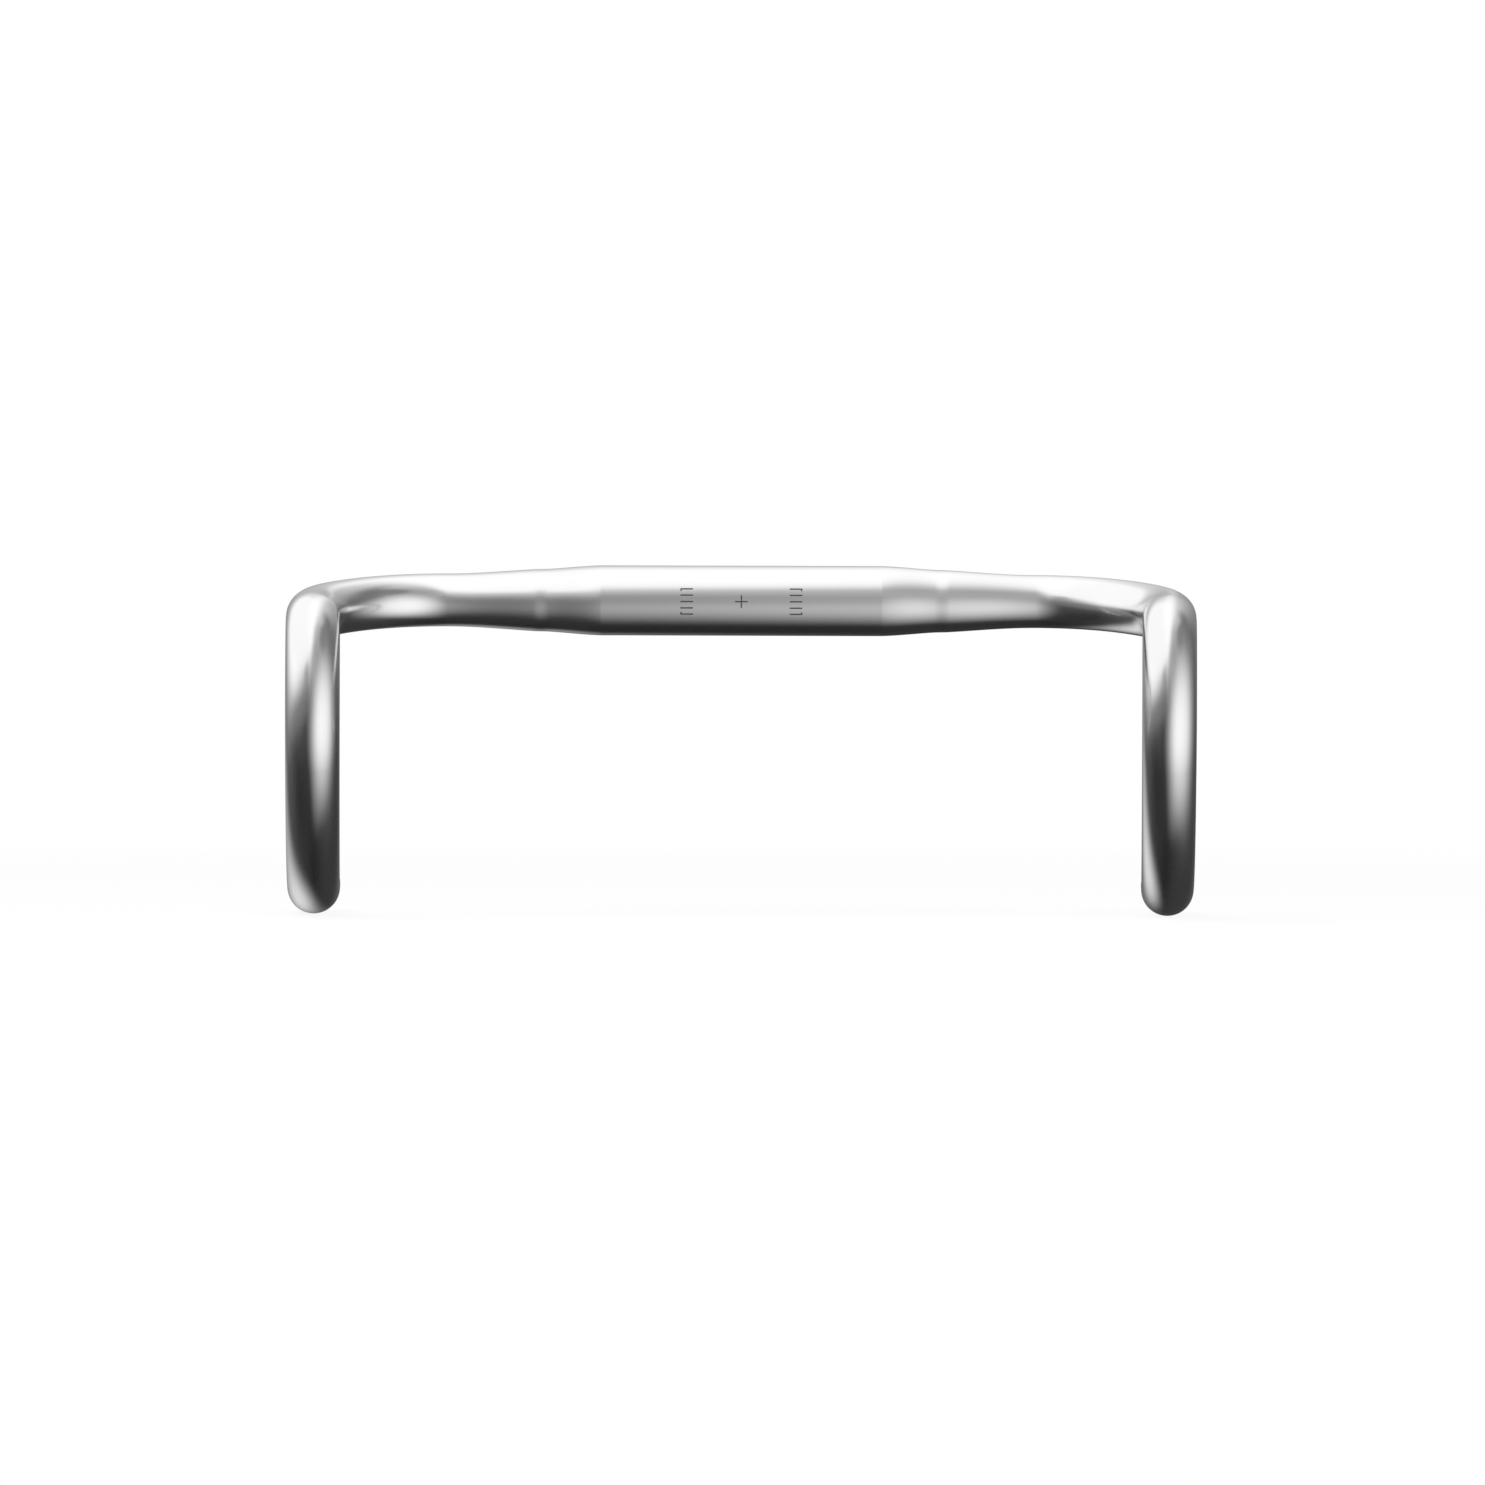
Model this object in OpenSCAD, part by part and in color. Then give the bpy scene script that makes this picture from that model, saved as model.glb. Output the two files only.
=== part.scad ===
// Drop handlebar: one drawn and bent aluminium tube, drawn here as the zones it is formed in.
// Frame: origin in the middle of the clamp zone, +X to the right, -Y forward, +Z up, millimetres.

/* [Overall] */
// Width between the tube axes at the two drop ends
width = 398; // [340:1:480]
// Forward distance from the clamp axis to the front of the hook axis
reach = 82; // [75:1:100]
// Height from the clamp axis down to the lowest point of the tube axis
drop = 131.5; // [108:0.5:160]
// Angle by which each hook leans outwards towards the rear, in degrees
outsweep = 4; // [0:0.5:10]

/* [Clamp zone] */
// Outside diameter where the stem clamps
clamp_d = 31.8; // [25.4:0.1:35]
// Length of the straight clamp zone
clamp_len = 127; // [100:1:155]
// Wall thickness of the clamp zone
clamp_wall = 2.2; // [1.5:0.1:3]

/* [Tube] */
// Outside diameter of the tops, hooks and drops
tube_d = 24; // [22.2:0.1:25]
// Wall thickness of the tops, hooks and drops
tube_wall = 1.6; // [1.2:0.1:2.5]
// Outside diameter in the middle of the neck, between the two tapers
neck_d = 28.3; // [27:0.1:30]
// Length of the neck
neck_len = 7; // [4:0.5:10]
// How fast the radius shrinks along the neck
neck_slope = 0.03; // [0.01:0.005:0.05]
// How fast the radius shrinks along the bar where each taper starts and where it meets the neck
taper_slope = 0.06; // [0.02:0.005:0.08]
// Share of the tapered length that lies before the middle of the neck
neck_share = 0.393; // [0.3:0.001:0.5]
// Length of the straight drop behind the lower hook
drop_end_len = 38; // [28:1:80]
// Chamfer around the outside of each open end
end_chamfer = 0.5; // [0.2:0.1:1]

/* [Bends] */
// Radius of the first part of the corner bend
corner_r = 57; // [45:1:70]
// Turn of the first part of the corner bend, in degrees
corner_turn = 44.5; // [38:0.5:50]
// Radius of the second, slow part of the corner bend
shoulder_r = 74; // [50:1:90]
// Turn of the second part of the corner bend, in degrees
shoulder_turn = 14; // [8:0.5:20]
// Radius of the last part, the tightest, which turns forward into the ramp
ramp_r = 42; // [34:1:50]
// Forward and downward tilt of the plane of the corner bend, in degrees
corner_tilt = 9.3; // [4:0.1:16]
// Radius of the knuckle, the tight bend that turns the ramp down into the hook
knuckle_r = 18.5; // [14:0.5:24]
// Slope of the tube where the knuckle meets the hook bend, in degrees below level
knuckle_slope = 63.5; // [50:0.5:75]
// Radius of the hook bend, around the front of the hook
hook_r = 54; // [35:1:70]
// Slope of the tube where the hook bend meets the lower hook, in degrees below level
hook_slope = 121; // [100:1:130]
// Rise of the drop end towards the rear, in degrees
drop_end_rise = 1; // [0:0.5:8]

/* [Alignment marks] */
// Length of each line of the cross and of each tick
mark_len = 5.7; // [4:0.1:8]
// Width of every printed line
mark_line = 0.6; // [0.4:0.1:1]
// Thickness of the ink
mark_ink = 0.05; // [0.03:0.01:0.08]
// Distance from the middle of the bar to the middle of each angle scale
scale_x = 24.7; // [22:0.1:35]
// Angle from one tick to the next, in degrees
tick_step = 10.5; // [6:0.5:12]
// Number of ticks above and below the middle tick
ticks_each_way = 2; // [1:1:3]
// Length of the short hook at the end of the outermost ticks
mark_serif = 1.3; // [0.8:0.1:2]
// Angle by which all the marks sit below level, in degrees
mark_lowered = 3; // [-10:0.5:10]

/* [Hidden] */
$fn = 96;

clamp_r = clamp_d / 2;
clamp_bore_r = clamp_r - clamp_wall;
neck_from_r = (neck_d + neck_slope * neck_len) / 2;
neck_to_r = (neck_d - neck_slope * neck_len) / 2;
neck_wall = (clamp_wall + tube_wall) / 2;
tube_r = tube_d / 2;
tube_bore_r = tube_r - tube_wall;
clamp_end = clamp_len / 2;
taper_steps = 8;
cut = 1;

// Headings of the corner bend in its own plane, from along the bar to along the ramp.
turn_1 = corner_turn;
turn_2 = corner_turn + shoulder_turn;
turn_3 = 90 + atan(tan(outsweep) * cos(corner_tilt));

// Slope of the ramp below level, and the slope at which the tube leaves the lower hook.
ramp_slope = asin(sin(turn_3) * sin(corner_tilt));
end_slope = 180 + drop_end_rise;

// How far the corner bend runs along the bar, and how far across it.
corner_along = corner_r * sin(turn_1) + shoulder_r * (sin(turn_2) - sin(turn_1))
    + ramp_r * (sin(turn_3) - sin(turn_2));
corner_across = corner_r * (1 - cos(turn_1)) + shoulder_r * (cos(turn_1) - cos(turn_2))
    + ramp_r * (cos(turn_2) - cos(turn_3));

// The ramp is as long as the reach needs: its front end plus two bends make up the rest.
knuckle_forward = knuckle_r * (sin(knuckle_slope) - sin(ramp_slope));
hook_forward = (reach - corner_across * cos(corner_tilt)) / cos(outsweep);
ramp_len = (hook_forward - knuckle_forward - hook_r * (1 - sin(knuckle_slope))) / cos(ramp_slope);

// The lower hook has the radius that the drop needs, from the end of the hook bend down.
lower_hook_down = drop - corner_across * sin(corner_tilt) - ramp_len * sin(ramp_slope)
    - knuckle_r * (cos(ramp_slope) - cos(knuckle_slope))
    - hook_r * (cos(knuckle_slope) - cos(hook_slope));
lower_hook_r = lower_hook_down / (1 + cos(hook_slope));

// How far forward of the corner bend the open end lies, then the place where the bend starts.
end_forward = ramp_len * cos(ramp_slope) + knuckle_forward
    + hook_r * (sin(hook_slope) - sin(knuckle_slope))
    + lower_hook_r * (sin(end_slope) - sin(hook_slope)) + drop_end_len * cos(end_slope);
bend_start = width / 2 - corner_along + end_forward * sin(outsweep);
neck_from_x = clamp_end + neck_share * (bend_start - clamp_end) - neck_len / 2;
neck_to_x = neck_from_x + neck_len;

// A frame has its origin on the tube axis, Z along the tube and X towards the centre of the next bend.
function frame(at, along, inward) = let (side = cross(along, inward)) [
    [inward.x, side.x, along.x, at.x],
    [inward.y, side.y, along.y, at.y],
    [inward.z, side.z, along.z, at.z],
    [0, 0, 0, 1]
];

// The step from the start of a bend to its end.
function bend_step(r, turn) = [
    [cos(turn), 0, sin(turn), r * (1 - cos(turn))],
    [0, 1, 0, 0],
    [-sin(turn), 0, cos(turn), r * sin(turn)],
    [0, 0, 0, 1]
];
function column(m, i) = [m[0][i], m[1][i], m[2][i]];

// The frames along the right half of the bar, each worked out from the one before it.
corner_frame = frame([bend_start, 0, 0], [1, 0, 0], [0, -cos(corner_tilt), -sin(corner_tilt)]);
shoulder_frame = corner_frame * bend_step(corner_r, turn_1);
ramp_frame = shoulder_frame * bend_step(shoulder_r, turn_2 - turn_1);
ramp_straight_frame = ramp_frame * bend_step(ramp_r, turn_3 - turn_2);
ramp_along = column(ramp_straight_frame, 2);
ramp_end = column(ramp_straight_frame, 3) + ramp_len * ramp_along;
hook_plane_normal = [cos(outsweep), -sin(outsweep), 0];
knuckle_frame = frame(ramp_end, ramp_along, cross(hook_plane_normal, ramp_along));
hook_frame = knuckle_frame * bend_step(knuckle_r, knuckle_slope - ramp_slope);
lower_hook_frame = hook_frame * bend_step(hook_r, hook_slope - knuckle_slope);
drop_frame = lower_hook_frame * bend_step(lower_hook_r, end_slope - hook_slope);

// A ring of wall, as a flat section.
module tube_section() {
    difference() {
        circle(r = tube_r);
        circle(r = tube_bore_r);
    }
}

// A bent stretch of tube that starts at the origin along Z and turns towards X.
module tube_bend(r, turn) {
    translate([r, 0, 0])
        rotate([90, 0, 180])
            rotate_extrude(angle = turn)
                translate([r, 0])
                    tube_section();
}

// The outside radius at share u of a taper: a cubic that leaves and arrives at the given slopes.
function taper_r(u, len, from_r, to_r, from_slope, to_slope) =
    from_r + (to_r - from_r) * (3 - 2 * u) * u ^ 2
    - len * u * (1 - u) * (from_slope * (1 - u) - to_slope * u);

// A tapered stretch of tube along X. Its outside follows the cubic and its bore is a plain cone.
module tube_taper(from_x, to_x, from_r, to_r, from_slope, to_slope, from_bore_r, to_bore_r) {
    len = to_x - from_x;
    outside = [
        for (i = [0 : taper_steps])
            let (u = i / taper_steps)
                [taper_r(u, len, from_r, to_r, from_slope, to_slope), u * len]
    ];
    translate([from_x, 0, 0])
        rotate([90, 0, 90])
            rotate_extrude()
                polygon(concat([[from_bore_r, 0]], outside, [[to_bore_r, len]]));
}

// Draws the right half as it is, or mirrored as the left half.
module on_side(side) {
    if (side == "left")
        mirror([1, 0, 0]) children();
    else
        children();
}

module clamp_section() {
    color("silver")
        rotate([0, 90, 0])
            difference() {
                cylinder(r = clamp_r, h = clamp_len, center = true);
                cylinder(r = clamp_bore_r, h = clamp_len + 2 * cut, center = true);
            }
}

module inner_taper() {
    color("silver")
        tube_taper(clamp_end, neck_from_x, clamp_r, neck_from_r, taper_slope, taper_slope,
            clamp_bore_r, neck_from_r - neck_wall);
}

module neck() {
    color("silver")
        tube_taper(neck_from_x, neck_to_x, neck_from_r, neck_to_r, taper_slope, taper_slope,
            neck_from_r - neck_wall, neck_to_r - neck_wall);
}

module outer_taper() {
    color("silver")
        tube_taper(neck_to_x, bend_start, neck_to_r, tube_r, taper_slope, 0,
            neck_to_r - neck_wall, tube_bore_r);
}

module corner_bend() {
    color("silver")
        multmatrix(corner_frame) tube_bend(corner_r, turn_1);
}

module shoulder_bend() {
    color("silver")
        multmatrix(shoulder_frame) tube_bend(shoulder_r, turn_2 - turn_1);
}

module ramp_bend() {
    color("silver")
        multmatrix(ramp_frame) tube_bend(ramp_r, turn_3 - turn_2);
}

module ramp() {
    color("silver")
        multmatrix(ramp_straight_frame)
            linear_extrude(ramp_len)
                tube_section();
}

module knuckle_bend() {
    color("silver")
        multmatrix(knuckle_frame) tube_bend(knuckle_r, knuckle_slope - ramp_slope);
}

module hook_bend() {
    color("silver")
        multmatrix(hook_frame) tube_bend(hook_r, hook_slope - knuckle_slope);
}

module lower_hook() {
    color("silver")
        multmatrix(lower_hook_frame) tube_bend(lower_hook_r, end_slope - hook_slope);
}

module drop_end() {
    color("silver")
        multmatrix(drop_frame)
            difference() {
                union() {
                    cylinder(r = tube_r, h = drop_end_len - end_chamfer);
                    translate([0, 0, drop_end_len - end_chamfer])
                        cylinder(r1 = tube_r, r2 = tube_r - end_chamfer, h = end_chamfer);
                }
                translate([0, 0, -cut])
                    cylinder(r = tube_bore_r, h = drop_end_len + 2 * cut);
            }
}

// Ink on the clamp surface, wherever the child shape passes through it.
module ink() {
    color("dimgray")
        intersection() {
            rotate([0, 90, 0])
                difference() {
                    cylinder(r = clamp_r + mark_ink, h = clamp_len, center = true);
                    cylinder(r = clamp_r, h = clamp_len + 2 * cut, center = true);
                }
            rotate([mark_lowered, 0, 0])
                children();
        }
}

// A stencil for one printed line, length along X and height around the bar, at an angle above level.
module line_stencil(x, angle, len, height) {
    rotate([-angle, 0, 0])
        translate([x - len / 2, -clamp_r - cut, -height / 2])
            cube([len, 2 * cut, height]);
}

module centre_mark() {
    ink()
        union() {
            line_stencil(0, 0, mark_len, mark_line);
            line_stencil(0, 0, mark_line, mark_len);
        }
}

// Ticks at equal angles, the outermost ones with a short hook that points to the middle tick.
module angle_scale() {
    serif_angle = tick_step * ticks_each_way - (mark_serif - mark_line) / 2 / clamp_r * 180 / PI;
    serif_x = scale_x + (mark_len - mark_line) / 2;
    ink()
        union() {
            for (i = [-ticks_each_way : ticks_each_way])
                line_stencil(scale_x, i * tick_step, mark_len, mark_line);
            for (way = [-1, 1])
                line_stencil(serif_x, way * serif_angle, mark_line, mark_serif);
        }
}

clamp_section();
on_side("right") inner_taper();  // right_inner_taper
on_side("right") neck();  // right_neck
on_side("right") outer_taper();  // right_outer_taper
on_side("right") corner_bend();  // right_corner_bend
on_side("right") shoulder_bend();  // right_shoulder_bend
on_side("right") ramp_bend();  // right_ramp_bend
on_side("right") ramp();  // right_ramp
on_side("right") knuckle_bend();  // right_knuckle_bend
on_side("right") hook_bend();  // right_hook_bend
on_side("right") lower_hook();  // right_lower_hook
on_side("right") drop_end();  // right_drop_end
on_side("left") inner_taper();  // left_inner_taper
on_side("left") neck();  // left_neck
on_side("left") outer_taper();  // left_outer_taper
on_side("left") corner_bend();  // left_corner_bend
on_side("left") shoulder_bend();  // left_shoulder_bend
on_side("left") ramp_bend();  // left_ramp_bend
on_side("left") ramp();  // left_ramp
on_side("left") knuckle_bend();  // left_knuckle_bend
on_side("left") hook_bend();  // left_hook_bend
on_side("left") lower_hook();  // left_lower_hook
on_side("left") drop_end();  // left_drop_end
centre_mark();
on_side("left") angle_scale();  // left_angle_scale
on_side("right") angle_scale();  // right_angle_scale
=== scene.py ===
"""Visual model of a bare drop handlebar in satin anodised aluminium.

The bar is one tube, and each zone in which it is formed is a piece of its own. Every piece is swept by
one Geometry Nodes tree along a straight line or one arc, with the same driving sizes as the CAD model.
The printed alignment marks are laid around the clamp zone by a second tree.
"""
import logging
import math
from dataclasses import dataclass, field
from enum import Enum

import bpy
import numpy as np
from mathutils import Matrix, Vector


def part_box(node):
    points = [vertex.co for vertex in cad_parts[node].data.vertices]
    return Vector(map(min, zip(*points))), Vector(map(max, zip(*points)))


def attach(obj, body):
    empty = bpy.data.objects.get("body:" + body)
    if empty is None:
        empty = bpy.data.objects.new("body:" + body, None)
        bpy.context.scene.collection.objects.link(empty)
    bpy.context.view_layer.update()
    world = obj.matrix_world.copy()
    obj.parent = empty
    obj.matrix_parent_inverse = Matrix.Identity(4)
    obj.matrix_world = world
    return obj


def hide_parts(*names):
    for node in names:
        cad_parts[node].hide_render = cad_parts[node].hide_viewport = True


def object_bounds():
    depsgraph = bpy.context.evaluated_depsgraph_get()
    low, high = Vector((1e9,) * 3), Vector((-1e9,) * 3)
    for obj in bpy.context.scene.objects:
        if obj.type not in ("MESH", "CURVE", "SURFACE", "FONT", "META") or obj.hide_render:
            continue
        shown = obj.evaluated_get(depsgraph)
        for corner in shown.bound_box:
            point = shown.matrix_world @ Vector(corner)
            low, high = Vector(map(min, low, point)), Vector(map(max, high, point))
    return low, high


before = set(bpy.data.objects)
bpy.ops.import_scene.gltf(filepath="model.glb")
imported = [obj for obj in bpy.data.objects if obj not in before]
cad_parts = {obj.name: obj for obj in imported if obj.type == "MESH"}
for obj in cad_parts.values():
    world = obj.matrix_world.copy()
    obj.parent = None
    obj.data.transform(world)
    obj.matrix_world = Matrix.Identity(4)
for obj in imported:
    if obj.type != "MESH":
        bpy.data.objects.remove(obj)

LOG = logging.getLogger("drop_bar")
MM = 0.001
BODY = "root"
CAD_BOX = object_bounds()
BOX_TOLERANCE = 0.2 * MM
NOISE = "ShaderNodeTexNoise"
ADD, SUBTRACT, MULTIPLY, DIVIDE, MULTIPLY_ADD, MINIMUM, MAXIMUM, COMPARE, PINGPONG, SINE, COSINE = (
    ("ShaderNodeMath", {"operation": operation}) for operation in (
        "ADD", "SUBTRACT", "MULTIPLY", "DIVIDE", "MULTIPLY_ADD", "MINIMUM", "MAXIMUM", "COMPARE",
        "PINGPONG", "SINE", "COSINE"))


def linear_colour(hex_code: str) -> tuple[float, float, float, float]:
    """Turns an sRGB hex colour into the linear colour that shaders use.

    Args:
        hex_code: Six hex digits, with or without a leading hash.

    Returns:
        Red, green, blue and an alpha of 1, all linear.
    """
    digits = hex_code.lstrip("#")
    parts = [int(digits[i:i + 2], 16) / 255 for i in (0, 2, 4)]
    return (*(c / 12.92 if c <= 0.04045 else ((c + 0.055) / 1.055) ** 2.4 for c in parts), 1.0)


def add_node(tree: bpy.types.NodeTree, kind: str, settings: dict | None = None,
             inputs: dict | None = None) -> bpy.types.Node:
    """Adds one node with its settings and its links.

    Args:
        tree: The tree that gets the node.
        kind: The node's type name.
        settings: Values for the node's own properties.
        inputs: Input sockets by name or number, each with a value or a socket to link from.

    Returns:
        The new node.
    """
    node = tree.nodes.new(kind)
    for key, value in (settings or {}).items():
        setattr(node, key, value)
    for key, value in (inputs or {}).items():
        socket = next(s for i, s in enumerate(node.inputs) if s.enabled and key in (s.name, i))
        if isinstance(value, bpy.types.NodeSocket):
            tree.links.new(value, socket)
        else:
            socket.default_value = value
    return node


def add_steps(tree: bpy.types.NodeTree, known: dict[str, bpy.types.Node],
              steps: tuple[tuple[str, str, dict, dict], ...]) -> None:
    """Adds a run of named nodes that may link to each other by name.

    Args:
        tree: The tree that gets the nodes.
        known: Nodes by name. Each new node joins it.
        steps: Name, type, settings and inputs of each node. An input that is text starting with @ names
            an earlier node, and after a dot the output to link from.
    """
    for name, kind, settings, inputs in steps:
        linked = {}
        for key, value in inputs.items():
            if isinstance(value, str) and value.startswith("@"):
                source, _, output = value[1:].partition(".")
                value = next(s for s in known[source].outputs if s.enabled and output in ("", s.name))
            linked[key] = value
        known[name] = add_node(tree, kind, settings, linked)


def new_tree(name: str, sockets: tuple[tuple[str, str], ...]) -> tuple[bpy.types.NodeTree, dict]:
    """Makes a Geometry Nodes tree with named inputs and one geometry output.

    Args:
        name: The tree's name.
        sockets: Name and socket type of each input.

    Returns:
        The tree, and a dict that holds its input node under the name given.
    """
    tree = bpy.data.node_groups.new(name, "GeometryNodeTree")
    tree.interface.new_socket("Geometry", in_out="OUTPUT", socket_type="NodeSocketGeometry")
    for label, kind in sockets:
        tree.interface.new_socket(label, in_out="INPUT", socket_type=kind)
    return tree, {"given": add_node(tree, "NodeGroupInput")}


def set_finishes(mesh: bpy.types.Mesh, materials: list[bpy.types.Material],
                 chosen: np.ndarray | None = None) -> None:
    """Gives a mesh exactly these materials.

    Args:
        mesh: The mesh.
        materials: Its material slots, in order.
        chosen: The slot of each face. Without it, every face gets the first.
    """
    mesh.materials.clear()
    for material in materials:
        mesh.materials.append(material)
    if chosen is None:
        chosen = np.zeros(len(mesh.polygons))
    mesh.polygons.foreach_set("material_index", chosen.astype(np.int32))
    mesh.update()


def apply_tree(name: str, runs: list[tuple[bpy.types.NodeTree, dict]]) -> bpy.types.Object:
    """Evaluates Geometry Nodes trees one after the other and keeps the result as a plain mesh.

    Args:
        name: The new object's name.
        runs: Trees, each with the values of its named inputs.

    Returns:
        An object at the origin with no modifiers.
    """
    piece = bpy.data.objects.new(name, bpy.data.meshes.new(name))
    bpy.context.scene.collection.objects.link(piece)
    for tree, values in runs:
        modifier = piece.modifiers.new(tree.name, "NODES")
        modifier.node_group = tree
        named = {item.name: item.identifier for item in tree.interface.items_tree
                 if item.in_out == "INPUT"}
        for label, value in values.items():
            modifier[named[label]] = value
    graph = bpy.context.evaluated_depsgraph_get()
    mesh = bpy.data.meshes.new_from_object(piece.evaluated_get(graph), depsgraph=graph)
    piece.modifiers.clear()
    mesh.name = name
    set_finishes(mesh, [m for m in mesh.materials if m])
    piece.data = mesh
    return piece


class Finish:
    """A finish that a piece can be dressed in."""

    name = "finish"

    def material(self) -> bpy.types.Material:
        """Gives the finish's material, made on first use."""
        found = bpy.data.materials.get(self.name)
        if found:
            return found
        made = bpy.data.materials.new(self.name)
        made.use_nodes = True
        made.node_tree.nodes.clear()
        self.build(made.node_tree)
        return made

    def build(self, tree: bpy.types.NodeTree) -> None:
        """Adds the finish's nodes to an empty material tree."""
        raise NotImplementedError


@dataclass(frozen=True)
class SatinAnodisedAluminium(Finish):
    """Drawn 7000-series tube, bead blasted fine and clear anodised.

    The blasting gives a soft, even satin sheen with no direction. The drawing die leaves very faint
    lines along the tube, and the anodic film makes the tone drift a little from place to place.
    """

    name: str = "satin_anodised_aluminium"
    pale: str = "#F2F2F2"
    deep: str = "#ECECEC"
    roughness: tuple[float, float] = (0.17, 0.22)
    grit: float = 0.45 * MM  # real grit is 0.1 mm, drawn coarser so that it shows
    grit_depth: float = 0.004 * MM
    relief: float = 0.2
    die_line: float = 0.9 * MM
    die_line_stretch: float = 1 / 45
    die_line_share: float = 0.5  # of the lines against the grit
    sheen_span: tuple[float, float] = (0.4, 1.1)
    drift: float = 55 * MM

    def build(self, tree: bpy.types.NodeTree) -> None:
        """Adds the satin metal's nodes."""
        add_steps(tree, {}, (
            ("place", "ShaderNodeTexCoord", {}, {}),
            ("drawn", "ShaderNodeAttribute", {"attribute_name": "drawn_space"}, {}),
            ("grit", NOISE, {}, {
                "Vector": "@place.Object", "Scale": 1 / self.grit, "Detail": 2.0, "Roughness": 0.6}),
            ("drift", NOISE, {}, {
                "Vector": "@place.Object", "Scale": 1 / self.drift, "Detail": 2.0}),
            ("pulled", "ShaderNodeVectorMath", {"operation": "MULTIPLY"}, {
                0: "@drawn.Vector", 1: (1.0, 1.0, self.die_line_stretch)}),
            ("die_lines", NOISE, {}, {
                "Vector": "@pulled.Vector", "Scale": 1 / self.die_line, "Detail": 3.0}),
            ("tone", "ShaderNodeMix", {"data_type": "RGBA"}, {
                "Factor": "@drift.Fac", "A": linear_colour(self.deep), "B": linear_colour(self.pale)}),
            ("sheen", *MULTIPLY_ADD, {
                0: "@die_lines.Fac", 1: self.die_line_share, 2: "@grit.Fac"}),
            ("satin", "ShaderNodeMapRange", {}, {
                "Value": "@sheen", "From Min": self.sheen_span[0], "From Max": self.sheen_span[1],
                "To Min": self.roughness[0], "To Max": self.roughness[1]}),
            ("relief", "ShaderNodeBump", {}, {
                "Strength": self.relief, "Distance": self.grit_depth, "Height": "@sheen"}),
            ("metal", "ShaderNodeBsdfPrincipled", {}, {
                "Base Color": "@tone.Result", "Metallic": 1.0,
                "Roughness": "@satin", "Normal": "@relief"}),
            ("out", "ShaderNodeOutputMaterial", {}, {"Surface": "@metal"}),
        ))


@dataclass(frozen=True)
class RawDrawnAluminium(Finish):
    """The inside of the tube: bare drawn aluminium, duller than the outside, with plain die lines."""

    name: str = "raw_drawn_aluminium"
    bright: str = "#C9CACC"
    dull: str = "#B2B3B6"
    roughness: tuple[float, float] = (0.38, 0.5)
    die_line: float = 0.7 * MM
    die_line_depth: float = 0.01 * MM
    die_line_stretch: float = 1 / 60

    def build(self, tree: bpy.types.NodeTree) -> None:
        """Adds the raw metal's nodes."""
        add_steps(tree, {}, (
            ("drawn", "ShaderNodeAttribute", {"attribute_name": "drawn_space"}, {}),
            ("pulled", "ShaderNodeVectorMath", {"operation": "MULTIPLY"}, {
                0: "@drawn.Vector", 1: (1.0, 1.0, self.die_line_stretch)}),
            ("die_lines", NOISE, {}, {
                "Vector": "@pulled.Vector", "Scale": 1 / self.die_line, "Detail": 4.0}),
            ("tone", "ShaderNodeMix", {"data_type": "RGBA"}, {
                "Factor": "@die_lines.Fac", "A": linear_colour(self.dull),
                "B": linear_colour(self.bright)}),
            ("rough", "ShaderNodeMapRange", {}, {
                "Value": "@die_lines.Fac", "To Min": self.roughness[0], "To Max": self.roughness[1]}),
            ("relief", "ShaderNodeBump", {}, {
                "Strength": 0.5, "Distance": self.die_line_depth, "Height": "@die_lines.Fac"}),
            ("metal", "ShaderNodeBsdfPrincipled", {}, {
                "Base Color": "@tone.Result", "Metallic": 1.0,
                "Roughness": "@rough", "Normal": "@relief"}),
            ("out", "ShaderNodeOutputMaterial", {}, {"Surface": "@metal"}),
        ))


@dataclass(frozen=True)
class PadPrintedInk(Finish):
    """Dark grey two-part ink, pad printed over the anodising: thin, matt and slightly uneven."""

    name: str = "pad_printed_ink"
    full: str = "#3A3C3F"
    thin: str = "#4A4C50"
    speckle: float = 0.35 * MM
    speckle_depth: float = 0.01 * MM
    roughness: float = 0.55

    def build(self, tree: bpy.types.NodeTree) -> None:
        """Adds the ink's nodes."""
        add_steps(tree, {}, (
            ("place", "ShaderNodeTexCoord", {}, {}),
            ("cover", NOISE, {}, {"Vector": "@place.Object", "Scale": 1 / self.speckle}),
            ("tone", "ShaderNodeMix", {"data_type": "RGBA"}, {
                "Factor": "@cover.Fac", "A": linear_colour(self.full), "B": linear_colour(self.thin)}),
            ("relief", "ShaderNodeBump", {}, {
                "Strength": 0.3, "Distance": self.speckle_depth, "Height": "@cover.Fac"}),
            ("ink", "ShaderNodeBsdfPrincipled", {}, {
                "Base Color": "@tone.Result", "Roughness": self.roughness, "Normal": "@relief"}),
            ("out", "ShaderNodeOutputMaterial", {}, {"Surface": "@ink"}),
        ))


class Side(Enum):
    """The half of the bar that a piece is on, as the sign of its X."""

    RIGHT = 1.0
    LEFT = -1.0

    def mirrored(self, v: Vector) -> Vector:
        """Gives the vector as it is on this side."""
        return Vector((v.x * self.value, v.y, v.z))


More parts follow.
